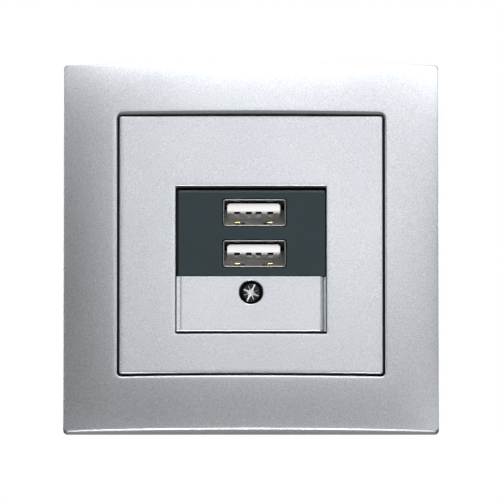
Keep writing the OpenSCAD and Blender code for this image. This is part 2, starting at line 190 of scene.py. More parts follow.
def apply_mods(o):
    dg = bpy.context.evaluated_depsgraph_get()
    ev = o.evaluated_get(dg)
    me = bpy.data.meshes.new_from_object(ev)
    o.modifiers.clear()
    old = o.data
    o.data = me
    bpy.data.meshes.remove(old)
    return o

def boolean(o, cutter, op="DIFFERENCE"):
    m = o.modifiers.new("b", "BOOLEAN")
    m.operation = op
    m.solver = "EXACT"
    m.object = cutter
    bpy.context.view_layer.update()
    apply_mods(o)
    me = cutter.data
    bpy.data.objects.remove(cutter)
    bpy.data.meshes.remove(me)
    return o

# ------------------------------------------------------------------ materials
def new_mat(name):
    m = bpy.data.materials.new(name)
    m.use_nodes = True
    nt = m.node_tree
    nt.nodes.clear()
    out = nt.nodes.new("ShaderNodeOutputMaterial")
    bs = nt.nodes.new("ShaderNodeBsdfPrincipled")
    nt.links.new(bs.outputs["BSDF"], out.inputs["Surface"])
    return m, nt, bs

def coords(nt, scale=(1, 1, 1)):
    tc = nt.nodes.new("ShaderNodeTexCoord")
    mp = nt.nodes.new("ShaderNodeMapping")
    mp.inputs["Scale"].default_value = scale
    nt.links.new(tc.outputs["Object"], mp.inputs["Vector"])
    return mp.outputs["Vector"]

def noise(nt, vec, scale, detail=2.0, rough=0.5, dist=0.0):
    n = nt.nodes.new("ShaderNodeTexNoise")
    n.inputs["Scale"].default_value = scale
    n.inputs["Detail"].default_value = detail
    n.inputs["Roughness"].default_value = rough
    n.inputs["Distortion"].default_value = dist
    nt.links.new(vec, n.inputs["Vector"])
    return n.outputs["Fac"]

def ramp(nt, fac, stops):
    r = nt.nodes.new("ShaderNodeValToRGB")
    el = r.color_ramp.elements
    while len(el) > len(stops):
        el.remove(el[-1])
    while len(el) < len(stops):
        el.new(0.5)
    for e, (p, c) in zip(el, stops):
        e.position = p
        e.color = (*c, 1) if len(c) == 3 else c
    nt.links.new(fac, r.inputs["Fac"])
    return r.outputs["Color"]

def mix_rgb(nt, a, b, fac, mode="MIX"):
    m = nt.nodes.new("ShaderNodeMix")
    m.data_type = "RGBA"
    m.blend_type = mode
    if isinstance(fac, (int, float)):
        m.inputs["Factor"].default_value = fac
    else:
        nt.links.new(fac, m.inputs["Factor"])
    for sock, v in (("A", a), ("B", b)):
        s = [i for i in m.inputs if i.name == sock and i.type == "RGBA"][0]
        if isinstance(v, tuple):
            s.default_value = (*v, 1) if len(v) == 3 else v
        else:
            nt.links.new(v, s)
    return [o for o in m.outputs if o.type == "RGBA"][0]

def maprange(nt, v, a, b, c, d):
    m = nt.nodes.new("ShaderNodeMapRange")
    m.inputs["From Min"].default_value = a
    m.inputs["From Max"].default_value = b
    m.inputs["To Min"].default_value = c
    m.inputs["To Max"].default_value = d
    nt.links.new(v, m.inputs["Value"])
    return m.outputs["Result"]

def bump(nt, bs, h, strength, dist):
    b = nt.nodes.new("ShaderNodeBump")
    b.inputs["Strength"].default_value = strength
    b.inputs["Distance"].default_value = dist
    nt.links.new(h, b.inputs["Height"])
    nt.links.new(b.outputs["Normal"], bs.inputs["Normal"])
    return b

def mat_silver():
    """satin metallic paint: fine flake, slight orange peel"""
    m, nt, bs = new_mat("silver_paint")
    v = coords(nt)
    flake = noise(nt, v, 5400, 1.0, 0.5)
    flake2 = noise(nt, v, 3300, 2.0, 0.6)
    peel = noise(nt, v, 420, 2.0, 0.5)
    blotch = noise(nt, v, 60, 2.0, 0.5)
    col = ramp(nt, flake, [(0.30, (0.45, 0.475, 0.52)), (0.50, (0.67, 0.695, 0.735)), (0.70, (0.92, 0.935, 0.96))])
    col2 = ramp(nt, flake2, [(0.34, (0.58, 0.605, 0.65)), (0.66, (0.77, 0.79, 0.82))])
    c = mix_rgb(nt, col, col2, 0.5)
    c = mix_rgb(nt, c, ramp(nt, blotch, [(0.3, (0.95, 0.95, 0.955)), (0.7, (1, 1, 1))]), 1.0, "MULTIPLY")
    nt.links.new(c, bs.inputs["Base Color"])
    bs.inputs["Metallic"].default_value = 0.88
    nt.links.new(maprange(nt, flake2, 0.2, 0.8, 0.30, 0.39), bs.inputs["Roughness"])
    h = mix_rgb(nt, ramp(nt, flake, [(0.2, (0, 0, 0)), (0.8, (1, 1, 1))]),
                ramp(nt, peel, [(0.2, (0, 0, 0)), (0.8, (1, 1, 1))]), 0.30)
    bump(nt, bs, h, 0.16, 0.00006)
    return m

def mat_plastic(name, col, rough=0.45, grain=900, gstr=0.12, var=0.12, spec=0.5):
    """moulded plastic with a fine spark-eroded grain"""
    m, nt, bs = new_mat(name)
    v = coords(nt)
    g = noise(nt, v, grain, 3.0, 0.6)
    b = noise(nt, v, grain / 14, 2.0, 0.5)
    lo = tuple(max(0.0, c * (1 - var)) for c in col)
    hi = tuple(min(1.0, c * (1 + var) + 0.003) for c in col)
    c = mix_rgb(nt, ramp(nt, g, [(0.3, lo), (0.7, hi)]), ramp(nt, b, [(0.3, lo), (0.7, hi)]), 0.4)
    nt.links.new(c, bs.inputs["Base Color"])
    nt.links.new(maprange(nt, g, 0.25, 0.75, rough - 0.06, rough + 0.08), bs.inputs["Roughness"])
    bs.inputs["Specular IOR Level"].default_value = spec
    bump(nt, bs, g, gstr, 0.0001)
    return m

def mat_metal(name, col, rough=0.32, stretch=(1, 1, 1), scale=1500, var=0.18, gstr=0.08, stain=None):
    """plated or rolled sheet metal with drawn grain, small stains and worn spots"""
    m, nt, bs = new_mat(name)
    v = coords(nt, stretch)
    v2 = coords(nt)
    g = noise(nt, v, scale, 3.0, 0.6)
    b = noise(nt, v2, 110, 3.0, 0.55, 0.6)
    lo = tuple(c * (1 - var) for c in col)
    hi = tuple(min(1.0, c * (1 + var * 0.6)) for c in col)
    c = ramp(nt, g, [(0.28, lo), (0.72, hi)])
    st = stain or tuple(x * 0.86 for x in col)
    c = mix_rgb(nt, c, ramp(nt, b, [(0.35, st), (0.65, hi)]), 0.35)
    nt.links.new(c, bs.inputs["Base Color"])
    bs.inputs["Metallic"].default_value = 1.0
    nt.links.new(maprange(nt, mix_rgb(nt, g, b, 0.5), 0.25, 0.75, rough - 0.08, rough + 0.12), bs.inputs["Roughness"])
    bump(nt, bs, g, gstr, 0.00005)
    return m

MAT = {}
MAT["silver_paint"] = mat_silver()
MAT["anthracite_plastic"] = mat_plastic("anthracite_plastic", (0.015, 0.030, 0.036), 0.36, 2600, 0.07, 0.12, 0.33)
MAT["black_plastic"] = mat_plastic("black_plastic", (0.022, 0.022, 0.024), 0.48, 1400, 0.16, 0.15)
MAT["zinc_steel"] = mat_metal("zinc_steel", (0.56, 0.57, 0.58), 0.36, (1, 1, 6), 700, 0.16, 0.06, (0.50, 0.49, 0.45))
MAT["screw_steel"] = mat_metal("screw_steel", (0.36, 0.36, 0.37), 0.27, (1, 1, 1), 1800, 0.2, 0.10)
MAT["screw_black"] = mat_metal("screw_black", (0.030, 0.034, 0.042), 0.30, (1, 1, 1), 1800, 0.25, 0.10, (0.018, 0.020, 0.024))
# near-white metal for the screw's recess and shank: a painted highlight
MAT["screw_recess_highlight"] = mat_metal("screw_recess_highlight", (0.93, 0.94, 0.95), 0.36, (1, 1, 1), 2400, 0.10, 0.14)
MAT["screw_recess_highlight"].node_tree.nodes["Principled BSDF"].inputs["Metallic"].default_value = 0.55
# flat diffuse grey standing in for the light on the frame's down-facing upper shoulder (painted shading)
MAT["down_shoulder_shade"] = mat_plastic("down_shoulder_shade", (0.155, 0.162, 0.165), 0.50, 2600, 0.10, 0.08, 0.35)
# dark plastic: bare plastic on the frame's back, and painted shade on the ledge in the window gap
MAT["bare_plastic_and_gap_shade"] = mat_plastic("bare_plastic_and_gap_shade", (0.020, 0.021, 0.023), 0.5, 1400, 0.12, 0.15, 0.3)
MAT["slot_shade"] = mat_plastic("slot_shade", (0.030, 0.023, 0.014), 0.6, 1500, 0.08, 0.15, 0.2)
# near-white contact metal for the bent tips: a painted highlight
MAT["contact_tip_highlight"] = mat_metal("contact_tip_highlight", (0.95, 0.94, 0.91), 0.45, (1, 6, 1), 1500, 0.08, 0.04)
MAT["contact_tip_highlight"].node_tree.nodes["Principled BSDF"].inputs["Metallic"].default_value = 0.20
# nearly lightless black: bare plastic, darkened further as painted shade in the screw hole
MAT["hole_black_shade"] = mat_plastic("hole_black_shade", (0.008, 0.008, 0.010), 0.55, 1400, 0.10, 0.2, 0.25)
MAT["shell_steel"] = mat_metal("shell_steel", (0.38, 0.385, 0.385), 0.42, (1, 8, 1), 900, 0.16, 0.06, (0.29, 0.29, 0.285))
MAT["white_plastic"] = mat_plastic("white_plastic", (0.955, 0.955, 0.95), 0.42, 1500, 0.05, 0.02)
MAT["socket_plastic"] = mat_plastic("socket_plastic", (0.74, 0.74, 0.74), 0.5, 1500, 0.08, 0.06)
# brighter copy of the shell metal for the inside of the sockets (painted light)
MAT["shell_inside_brightened"] = mat_metal("shell_inside_brightened", (0.92, 0.93, 0.935), 0.42, (1, 8, 1), 900, 0.05, 0.05, (0.86, 0.865, 0.87))
MAT["tab_metal"] = mat_metal("tab_metal", (0.30, 0.27, 0.22), 0.40, (1, 6, 1), 1500, 0.15, 0.06)
MAT["gold_contact"] = mat_metal("gold_contact", (0.86, 0.66, 0.30), 0.22, (1, 6, 1), 1500, 0.10, 0.04)
MAT["brass"] = mat_metal("brass", (0.72, 0.55, 0.25), 0.30, (1, 6, 1), 900, 0.14, 0.06)
MAT["chip_black"] = mat_plastic("chip_black", (0.028, 0.028, 0.030), 0.55, 2200, 0.14, 0.15)
MAT["ferrite"] = mat_plastic("ferrite", (0.055, 0.055, 0.060), 0.55, 1800, 0.2, 0.2)
MAT["winding_tape"] = mat_plastic("winding_tape", (0.72, 0.52, 0.06), 0.30, 500, 0.06, 0.10)
MAT["can_sleeve"] = mat_plastic("can_sleeve", (0.03, 0.045, 0.10), 0.26, 400, 0.05, 0.12)
MAT["opto_white"] = mat_plastic("opto_white", (0.76, 0.76, 0.72), 0.5, 1800, 0.1, 0.04)
MAT["fuse_brown"] = mat_plastic("fuse_brown", (0.16, 0.075, 0.045), 0.42, 900, 0.1, 0.12)
MAT["varistor_blue"] = mat_plastic("varistor_blue", (0.035, 0.12, 0.33), 0.35, 500, 0.12, 0.10)
MAT["terminal_plastic"] = mat_plastic("terminal_plastic", (0.66, 0.66, 0.62), 0.45, 1400, 0.1, 0.04)
MAT["board_green"] = mat_plastic("board_green", (0.018, 0.14, 0.060), 0.30, 700, 0.04, 0.16)

def finish_piece(o, body, slot, *nodes, mat=None):
    o.data.materials.clear()
    o.data.materials.append(MAT[mat or slot])
    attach(o, body)
    if nodes:
        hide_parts(*nodes)
    return o

def paint_faces(o, mat, test):
    """gives a second material to the faces whose middle passes the test; x, height over the wall, z in mm"""
    o.data.materials.append(MAT[mat])
    k = len(o.data.materials) - 1
    for p in o.data.polygons:
        c = p.center
        if test(c[0] / MM, -c[1] / MM, c[2] / MM, p.normal):
            p.material_index = k

# every CAD node gets its slot's procedural material
for sp in record["subparts"]:
    o = frame["nodes"][sp["node"]]
    m = MAT[sp["material_slot"]]
    if len(o.data.materials) == 0:
        o.data.materials.append(m)
    for s in o.material_slots:
        s.material = m

# ------------------------------------------------------------------ cover frame
def soft_max(x, z):
    return (abs(x) ** 12 + abs(z) ** 12) ** (1 / 12)

def front_at(x, z):
    return EDGE + ARCH + ROLL - ARCH * (x * x + z * z) / (R * R) - ROLL * (soft_max(x, z) / R) ** 8

def make_frame():
    S = []
    LEDGE = PLATE_H - 0.7
    def add(h, c, o):
        S.append((h, h, c, 0, 0, o))
    fr = lambda d: (lambda x, z: front_at(x, z) - d)
    add(R, 0.9, 0.05)
    add(R, 0.9, 0.6)
    add(R, 0.9, 2.0)
    # outer edge: rounded with 0.24 mm along the lower side, 0.14 mm along the others
    rb, ro = 0.24, 0.14
    def low(x, z):
        # 1 along the lower side, 0 along the others
        t = min(1.0, max(0.0, ((-z - abs(x)) / 1.6) * 0.5 + 0.5))
        return t * t * (3 - 2 * t)
    for a in range(0, 91, 15):
        t = math.radians(a)
        ib, io = rb * (1 - math.cos(t)), ro * (1 - math.cos(t))
        hx, hz, cz = R - io, R - (ib + io) / 2, (ib - io) / 2
        def hh(x, z, t=t):
            k = low(x, z)
            r = rb * k + ro * (1 - k)
            return front_at(x, z) - r * (1 - math.sin(t))
        S.append((hx, hz, 0.9, 0, cz, hh))
    n = 26
    h0, h1 = R - rb, WIN + 0.80
    for i in range(1, n):
        f = i / n
        h = h0 + (h1 - h0) * f
        S.append((h, h + 0.1 * f, 0.9 + 1.0 * f, 0, 0.1 * f, fr(0)))
    # rounded shoulder into the window
    rs, rt = 0.50, 0.58
    def high(x, z):
        t = min(1.0, max(0.0, ((z - abs(x)) / 0.8) * 0.5 + 0.5))
        return t * t * (3 - 2 * t)
    for a in range(0, 91, 10):
        t = math.radians(a)
        side = WIN + rs * (1 - math.sin(t))
        top_ = WIN_TOP + rt * (1 - math.sin(t))
        def hh(x, z, t=t):
            k = high(x, z)
            return front_at(x, z) - (rt * k + rs * (1 - k)) * (1 - math.cos(t))
        S.append((side, (side + top_) / 2, 1.7 - 0.9 * a / 90, 0, (top_ - side) / 2, hh))
    for h_, c_, o_ in ((0.0, 0.8, 5.6), (0.0, 0.8, 4.6), (0.0, 0.8, 3.08), (-0.06, 0.75, 3.0)):
        S.append((WIN + h_, (WIN + WIN_TOP) / 2 + h_, c_, 0, (WIN_TOP - WIN) / 2, o_))
    add(LEDGE + 0.06, 0.9, 3.0)
    add(LEDGE, 0.9, 2.9)
    add(LEDGE, 0.9, 1.6)
    add(LEDGE + 0.10, 0.9, 1.5)
    add(WIN + 1.65, 1.6, 1.5)
    add(WIN + 1.75, 1.6, 1.6)
    add(WIN + 2.15, 1.8, fr(2.3))
    add(WIN + 2.3, 1.8, fr(2.1))
    add((WIN + 2.3 + R - 2.4) / 2, 1.2, fr(2.1))
    add(R - 2.4, 0.8, fr(2.1))
    add(R - 2.2, 0.8, fr(2.25))
    add(R - 1.72, 0.6, 0.1)
    add(R - 1.65, 0.6, 0.0)
    add(R - 0.12, 0.85, 0.0)
    me = sweep("cover_frame_shell", S, 72, 8, True, True, 40)
    return link("cover_frame_shell", me)

o = make_frame()
finish_piece(o, "frame", "silver_paint", "cover_frame")
# the paint ends below the window's rim: the inside and the back are bare dark plastic, and the ledge at the foot of the
# window gap gets the same dark as painted shade
paint_faces(o, "bare_plastic_and_gap_shade", lambda x, h, z, n: max(abs(x), abs(z)) < R - 0.7 and h < front_at(x, z) - 1.6)
# painted shading: the faces of the upper shoulder that face down into the window get a flat diffuse grey instead of the
# silver paint, standing in for how the light falls on them
paint_faces(o, "down_shoulder_shade", lambda x, h, z, n: z < WIN + 0.75 and n[2] < -0.33 and
            h > front_at(x, z) - 3.4 and z > abs(x))

# ------------------------------------------------------------------ centre plate
def plate_top(x, z):
    return PLATE_TOP + 0.38 - 0.55 * (x * x + z * z) / (PLATE_H ** 2)

def make_plate():
    parts = []
    S = []
    top = lambda d: (lambda x, z: plate_top(x, z) - d)
    def add(h, c, o, f=0.0):
        # f moves from the plate's outline to the opening's
        S.append((h, h, c, 0, OPEN_Z * f + PLATE_DZ * (1 - f), o))
    add(PLATE_H, 0.45, 3.1)
    add(PLATE_H, 0.45, 4.4)
    r = 0.20
    for a in range(0, 91, 15):
        t = math.radians(a)
        add(PLATE_H - r * (1 - math.cos(t)), 0.45, top(r * (1 - math.sin(t))))
    n = 14
    h0, h1 = PLATE_H - r, OPEN_H + 0.15
    for i in range(1, n):
        f = i / n
        add(h0 + (h1 - h0) * f, 0.45 - 0.05 * f, top(0), f)
    ri = 0.15
    for a in range(0, 91, 18):
        t = math.radians(a)
        add(OPEN_H + ri * (1 - math.sin(t)), 0.4, top(ri * (1 - math.cos(t))), 1)
    add(OPEN_H, 0.4, 5.0, 1)
    add(OPEN_H, 0.4, 4.4, 1)
    add(OPEN_H + 2.0, 0.4, 4.4, 1)
    add(PLATE_H - 1.2, 0.5, 4.4, 0)
    add(PLATE_H - 1.2, 0.5, 3.2, 0)
    add(PLATE_H - 1.1, 0.5, 3.1, 0)
    add(PLATE_H - 0.1, 0.4, 3.1, 0)
    parts.append(sweep("plate_a", S, 48, 8, True, True, 40))
    return parts

plate_parts = make_plate()
# recessed floor below the sockets, with the cup for the screw
web = link("web", box_mesh("web", -17, 17, -4.6, -3.6, OPEN_Z - OPEN_H - 1.4, fi_hi[2] - 0.25, 0.08))
cup = link("cup", lathe_y("cup", [(0, 3.0), (2.85, 3.0), (2.95, 3.1), (2.95, 4.55), (2.9, 4.6), (0, 4.6)], 0, SCREW_Z, 64))
boolean(web, cup, "UNION")
cut = link("cut", lathe_y("cut", [(0, 2.0), (1.45, 2.0), (1.45, 3.9), (2.3, 3.9), (2.3, 6.0), (0, 6.0)], 0, SCREW_Z, 64))
boolean(web, cut)
for s in (-1, 1):
    c = link("c", box_mesh("c", s * 12 - 1.6, s * 12 + 1.6, -5, -3, -16.1, -14.9))
    boolean(web, c)
plate_parts.append(web.data.copy())
bpy.data.objects.remove(web)
o = join("centre_plate_cover", plate_parts)
finish_piece(o, "plate", "silver_paint", "centre_plate")
# the paint is on the front only: the cup for the screw and the inside are bare black plastic, given a nearly lightless
# black that also stands in for the shade in the screw hole (painted shade)
paint_faces(o, "hole_black_shade", lambda x, h, z, n: (math.hypot(x, z - SCREW_Z) < 3.4 and h < 4.7) or
            (max(abs(x), abs(z)) < PLATE_H + 1 and h < 4.7))

# ------------------------------------------------------------------ filler insert
def make_filler():
    x0, x1 = fi_lo[0], fi_hi[0]
    z0, z1 = OPEN_Z - OPEN_H + 0.65, fi_hi[2]
    cx, cz = (x0 + x1) / 2, (z0 + z1) / 2
    hx, hz = (x1 - x0) / 2, (z1 - z0) / 2
    top = 5.9
    # main panel: rounded left, right and lower sides, crisp upper side
    verts, faces = [], []
    nx, nz = 150, 60
    def prof(d, r):
        # height lost at distance d from a side rounded with radius r
        if d >= r:
            return 0.0
        return r - math.sqrt(max(0.0, r * r - (r - d) ** 2))
    xs, zs = [], []
    for i in range(nx + 1):
        t = i / nx
        # more points near the sides
        xs.append(-hx + 2 * hx * (0.5 - 0.5 * math.cos(math.pi * t)))
    for j in range(nz + 1):
        t = j / nz
        zs.append(-hz + 2 * hz * (0.5 - 0.5 * math.cos(math.pi * t)))
    def h(x, z):
        dl, dr, db, dt = x + hx, hx - x, z + hz, hz - z
        d = 0.0
        # faint hollow beside the left edge; the right side falls to a thin rim
        d += 0.05 * math.exp(-((dl - 0.68) / 0.30) ** 2)
        d += 0.80 * prof(max(dr - 0.44, 0.0), 0.95) / 0.95
        if dr < 0.44:
            d += 0.30 * min(1.0, (0.44 - dr) / 0.04)
        if dr < 0.26:
            d -= 0.98 * min(1.0, (0.26 - dr) / 0.05)
        d += prof(dl, 0.10) + prof(dr, 0.06)
        d += prof(db, 0.40) * 0.9
        d += prof(dt, 0.05)
        return top - d
    idx = {}
    for i, x in enumerate(xs):
        for j, z in enumerate(zs):
            idx[(i, j)] = len(verts)
            verts.append(((cx + x) * MM, -h(x, z) * MM, (cz + z) * MM))
    for i in range(nx):
        for j in range(nz):
            faces.append((idx[(i, j)], idx[(i + 1, j)], idx[(i + 1, j + 1)], idx[(i, j + 1)]))
    # sides and back
    rim = [(i, 0) for i in range(nx)] + [(nx, j) for j in range(nz)] + \
          [(i, nz) for i in range(nx, 0, -1)] + [(0, j) for j in range(nz, 0, -1)]
    back = []
    for k in rim:
        v = verts[idx[k]]
        back.append(len(verts))
        verts.append((v[0], -4.62 * MM, v[2]))
    m = len(rim)
    for a in range(m):
        b = (a + 1) % m
        faces.append((idx[rim[a]], back[a], back[b], idx[rim[b]]))
    faces.append(tuple(back))
    me = mesh_from("filler", verts, faces, True, 50)
    o = link("filler_strip", me)
    # screw hole with a small chamfer
    boolean(o, link("c", lathe_y("c", [(0, 3.0), (2.5, 3.0), (2.5, 5.78), (2.66, 5.95), (2.7, 8.0), (0, 8.0)], 0, SCREW_Z, 96)))
    parts = [o.data.copy()]
    bpy.data.objects.remove(o)
    for s in (-1, 1):
        parts.append(box_mesh("hook", s * 12 - 1.4, s * 12 + 1.4, -4.7, -3.2, -15.9, -15.2, 0.06))
        parts.append(box_mesh("hook2", s * 12 - 1.4, s * 12 + 1.4, -3.55, -3.2, -16.5, -15.25, 0.06))
    o = join("filler_strip", parts)
    for p in o.data.polygons:
        p.use_smooth = True
    o.data.set_sharp_from_angle(angle=math.radians(50))
    return o

o = make_filler()
finish_piece(o, "plate", "silver_paint", "filler_insert")
# the screw hole and the back of the filler get the same near-black: bare plastic, and painted shade in the hole
paint_faces(o, "hole_black_shade", lambda x, h, z, n: (math.hypot(x, z - SCREW_Z) < 2.62 and h < 5.84) or h < 4.65)

# ------------------------------------------------------------------ screws
def thread_mesh(name, cx, cz, r, depth, pitch, h0, h1, seg=24):
    """a real helical thread along Y from height h0 (outer) to h1 (inner), as a closed tube-like ridge"""
    turns = abs(h0 - h1) / pitch
    n = int(turns * seg)
    verts, faces = [], []
    # cross-section: root, crest, crest, root
    for i in range(n + 1):
        a = 2 * math.pi * i / seg
        h = h0 + (h1 - h0) * i / n
        fade = min(1.0, i / (seg * 0.8), (n - i) / (seg * 0.8))
        cr = r - depth + depth * fade
        w = pitch * 0.5
        for (rr_, dh) in ((r - depth - 0.05, w), (cr, w * 0.22), (cr, -w * 0.22), (r - depth - 0.05, -w)):
            verts.append(((cx + rr_ * math.cos(a)) * MM, -(h + dh) * MM, (cz + rr_ * math.sin(a)) * MM))
    for i in range(n):
        for k in range(4):
            k2 = (k + 1) % 4
            faces.append((i * 4 + k, i * 4 + k2, (i + 1) * 4 + k2, (i + 1) * 4 + k))
    faces.append((0, 1, 2, 3))
    faces.append((n * 4, n * 4 + 3, n * 4 + 2, n * 4 + 1))
    return mesh_from(name, verts, faces, True, 30)

def cutter_box(cx, cz, ang, x0, x1, h0, h1, z0, z1, taper=0.0):
    """box cutter turned by ang about the Y axis through cx, cz; heights over the wall"""
    me = box_mesh("c", x0, x1, -h1, -h0, z0, z1)
    if taper:
        for v in me.vertices:
            if v.co.y > -(h0 + h1) / 2 * MM:
                v.co.x *= (1 - taper)
                v.co.z *= (1 - taper)
    c, s = math.cos(ang), math.sin(ang)
    for v in me.vertices:
        x, z = v.co.x, v.co.z
        v.co.x = cx * MM + x * c - z * s
        v.co.z = cz * MM + x * s + z * c
    return link("c", me)

def make_cover_screw():
    head_r = (sc_hi[0] - sc_lo[0]) / 2
    seat, top = 3.9, -sc_lo[1]
    prof = [(0, seat - 0.2), (1.15, seat - 0.2), (1.15, seat), (head_r - 0.12, seat), (head_r, seat + 0.12),
            (head_r, top - 0.26), (head_r - 0.03, top - 0.15), (head_r - 0.09, top - 0.07), (head_r - 0.18, top - 0.03),
            (head_r - 0.42, top - 0.005), (head_r * 0.62, top), (0, top)]
    o = link("cover_screw_head", lathe_y("h", prof, 0, SCREW_Z, 96, sharp=50))
    # slot across the whole head, a shorter crossing wing, fine marks between them, and a tapered middle
    a0 = math.radians(65)
    boolean(o, cutter_box(0, SCREW_Z, a0, -head_r - 0.3, head_r + 0.3, top - 0.34, top + 0.5, -0.17, 0.17, 0.05))
    boolean(o, cutter_box(0, SCREW_Z, a0 + math.pi / 2, -1.78, 1.78, top - 0.34, top + 0.5, -0.17, 0.17, 0.05))
    for k in range(2):
        boolean(o, cutter_box(0, SCREW_Z, a0 + math.radians(45 + 90 * k), -1.62, 1.62, top - 0.14, top + 0.5, -0.08, 0.08, 0.05))
        boolean(o, cutter_box(0, SCREW_Z, a0 + math.radians(90 * k), -0.98, 0.98, top - 0.95, top + 0.5, -0.30, 0.30, 0.30))
    boolean(o, link("c", lathe_y("c", [(0, top - 0.98), (0.30, top - 0.9), (0.62, top + 0.02), (0.7, top + 0.5), (0, top + 0.5)], 0, SCREW_Z, 32)))
    bev = o.modifiers.new("bev", "BEVEL")
    bev.width = 0.035 * MM
    bev.segments = 2
    bev.limit_method = "ANGLE"
    bev.angle_limit = math.radians(35)
    apply_mods(o)
    parts = [o.data.copy()]
    bpy.data.objects.remove(o)
    parts.append(lathe_y("s", [(0, seat), (1.02, seat), (1.02, -3.9), (0.8, -4.2), (0, -4.2)], 0, SCREW_Z, 48))
    parts.append(thread_mesh("t", 0, SCREW_Z, 1.25, 0.26, 0.45, seat - 0.9, -3.7, 28))
    o = join("cover_screw_fine", parts)
    for p in o.data.polygons:
        p.use_smooth = True
    o.data.set_sharp_from_angle(angle=math.radians(35))
    return o

o = make_cover_screw()
finish_piece(o, "cover_screw", "screw_steel", "cover_screw", mat="screw_black")
# painted highlight: the recess gets a near-white metal that stands in for the glints in the screw's cross, and the
# shank below the head gets it too
HEAD_TOP = -sc_lo[1]
def in_recess(x, h, z):
    r = math.hypot(x, z - SCREW_Z)
    return h > 3.95 and ((r < 1.95 and h < HEAD_TOP - 0.2) or (r < 1.66 and h < HEAD_TOP - 0.06))
paint_faces(o, "screw_recess_highlight", lambda x, h, z, n: h < 3.85 or in_recess(x, h, z))

# ------------------------------------------------------------------ bezel
PORTS = []
for n in ("usb_shell_upper", "usb_shell_lower"):
    a, b = nb(n)
    PORTS.append(((a[0] + b[0]) / 2, (a[2] + b[2]) / 2, (b[0] - a[0]) / 2, (b[2] - a[2]) / 2, -a[1]))

def make_bezel():
    cx, cz = (be_lo[0] + be_hi[0]) / 2, (be_lo[2] + be_hi[2]) / 2
    hx, hz = (be_hi[0] - be_lo[0]) / 2, (be_hi[2] - be_lo[2]) / 2
    top = -be_lo[1]
    S = []
    def add(dx, c, h):
        S.append((hx - dx, hz - dx, c, cx, cz, h))
    add(6.0, 0.2, 3.75)
    add(0.2, 0.35, 3.75)
    add(0.0, 0.35, 3.95)
    z_up = be_hi[2]
    def hb(d, band=True):
        # height less d; the last 0.58 mm below the upper side slope back by 26 degrees
        def f(x, z):
            u = max(0.0, z - (z_up - 0.58))
            return top - d - (0.488 * u if band else 0.0)
        return f
    r = 0.14
    add(0.0, 0.35, hb(r + 0.06))
    for a in (0, 22.5, 45, 67.5, 90):
        q = math.radians(a)
        add(r * (1 - math.cos(q)), 0.35, hb(r * (1 - math.sin(q))))
    for d in (0.22, 0.34, 0.46, 0.56, 0.60, 0.66, 0.8, 1.1):
        add(d, 0.35, hb(0.0))
    add(6.0, 0.2, top)
    me = sweep("bz", S, 24, 8, False, True, 40)
    # close the middle of the front and the back
    bm = bmesh.new()
    bm.from_mesh(me)
    bmesh.ops.holes_fill(bm, edges=[e for e in bm.edges if e.is_boundary], sides=0)
    bmesh.ops.recalc_face_normals(bm, faces=bm.faces)
    bm.to_mesh(me)
    bm.free()
    o = link("usb_bezel_front", me)
    for (px, pz, pw, ph, pf) in PORTS:
        S2 = []
        w, h = pw + 0.17, ph + 0.17
        for (grow, hh) in ((0.0, 3.0), (0.0, top - 0.14), (0.16, top + 0.02), (0.16, top + 1)):
            S2.append((w + grow, h + grow, 0.75 + grow, px, pz, hh))
        c = sweep("c", S2, 4, 8, False)
        bm = bmesh.new()
        bm.from_mesh(c)
        bmesh.ops.holes_fill(bm, edges=[e for e in bm.edges if e.is_boundary], sides=0)
        bmesh.ops.recalc_face_normals(bm, faces=bm.faces)
        bm.to_mesh(c)
        bm.free()
        boolean(o, link("c", c))
    parts = [o.data.copy()]
    bpy.data.objects.remove(o)
    for x in (-12.5, 13):
        parts.append(box_mesh("leg", x - 1.2, x + 1.2, -3.8, -1.72, 1.6, 3.2, 0.1))
    o = join("usb_bezel_front", parts)
    for p in o.data.polygons:
        p.use_smooth = True
    o.data.set_sharp_from_angle(angle=math.radians(40))
    return o

o = make_bezel()
finish_piece(o, "insert", "anthracite_plastic", "usb_bezel")

# ------------------------------------------------------------------ USB sockets
def make_shell(name, px, pz, pw, ph, pf):
    t = 0.24
    S = []
    rr_ = 0.62
    def add(d, h):
        S.append((pw - d, ph - d, max(rr_ - d, 0.2), px, pz, h))
    # outside from back to front, a rounded lip, then inside to the back
    add(0, -9.4)
    add(0, pf - 0.16)
    for a in (0, 22.5, 45, 67.5, 90):
        q = math.radians(a)
        add(t / 2 * (1 - math.cos(q)), pf - 0.15 + t / 2 * math.sin(q))
    for a in (67.5, 45, 22.5, 0):
        q = math.radians(a)
        add(t - t / 2 * (1 - math.cos(q)), pf - 0.15 + t / 2 * math.sin(q))
    add(t, pf - 0.4)
    add(t, -9.4)
    o = link(name, sweep(name, S, 6, 8, True, True, 45))
    # side seam of the folded sheet, and spring windows in the upper and lower walls
    sz = pz + (0.0 if name.endswith("upper") else 0.0)
    boolean(o, link("c", box_mesh("c", px - pw - 0.2, px - pw + t + 0.1, -pf - 0.5, 9.6, sz - 0.09, sz + 0.09)))
    for dx in (-3.55, 3.3):
        for e in (-1, 1):
            z0 = pz + e * (ph - t / 2)
            for (a, b) in ((-0.85, -0.62), (0.62, 0.85)):
                boolean(o, link("c", box_mesh("c", px + dx + a, px + dx + b, -4.6, 0.2, z0 - 0.3, z0 + 0.3)))
            if e > 0:
                boolean(o, link("c", box_mesh("c", px + dx - 0.85, px + dx + 0.85, -4.8, -4.5, z0 - 0.3, z0 + 0.3)))
    parts = [o.data.copy()]
    bpy.data.objects.remove(o)
    for s in (-1, 1):
        for e in (-1.6, 1.6):
            xx = px + s * (pw - t / 2)
            parts.append(box_mesh("foot", xx - t / 2, xx + t / 2, 9.0, 12.0, pz + e - 0.6, pz + e + 0.6, 0.05))
    o = join(name, parts)
    for p in o.data.polygons:
        p.use_smooth = True
    o.data.set_sharp_from_angle(angle=math.radians(38))
    return o

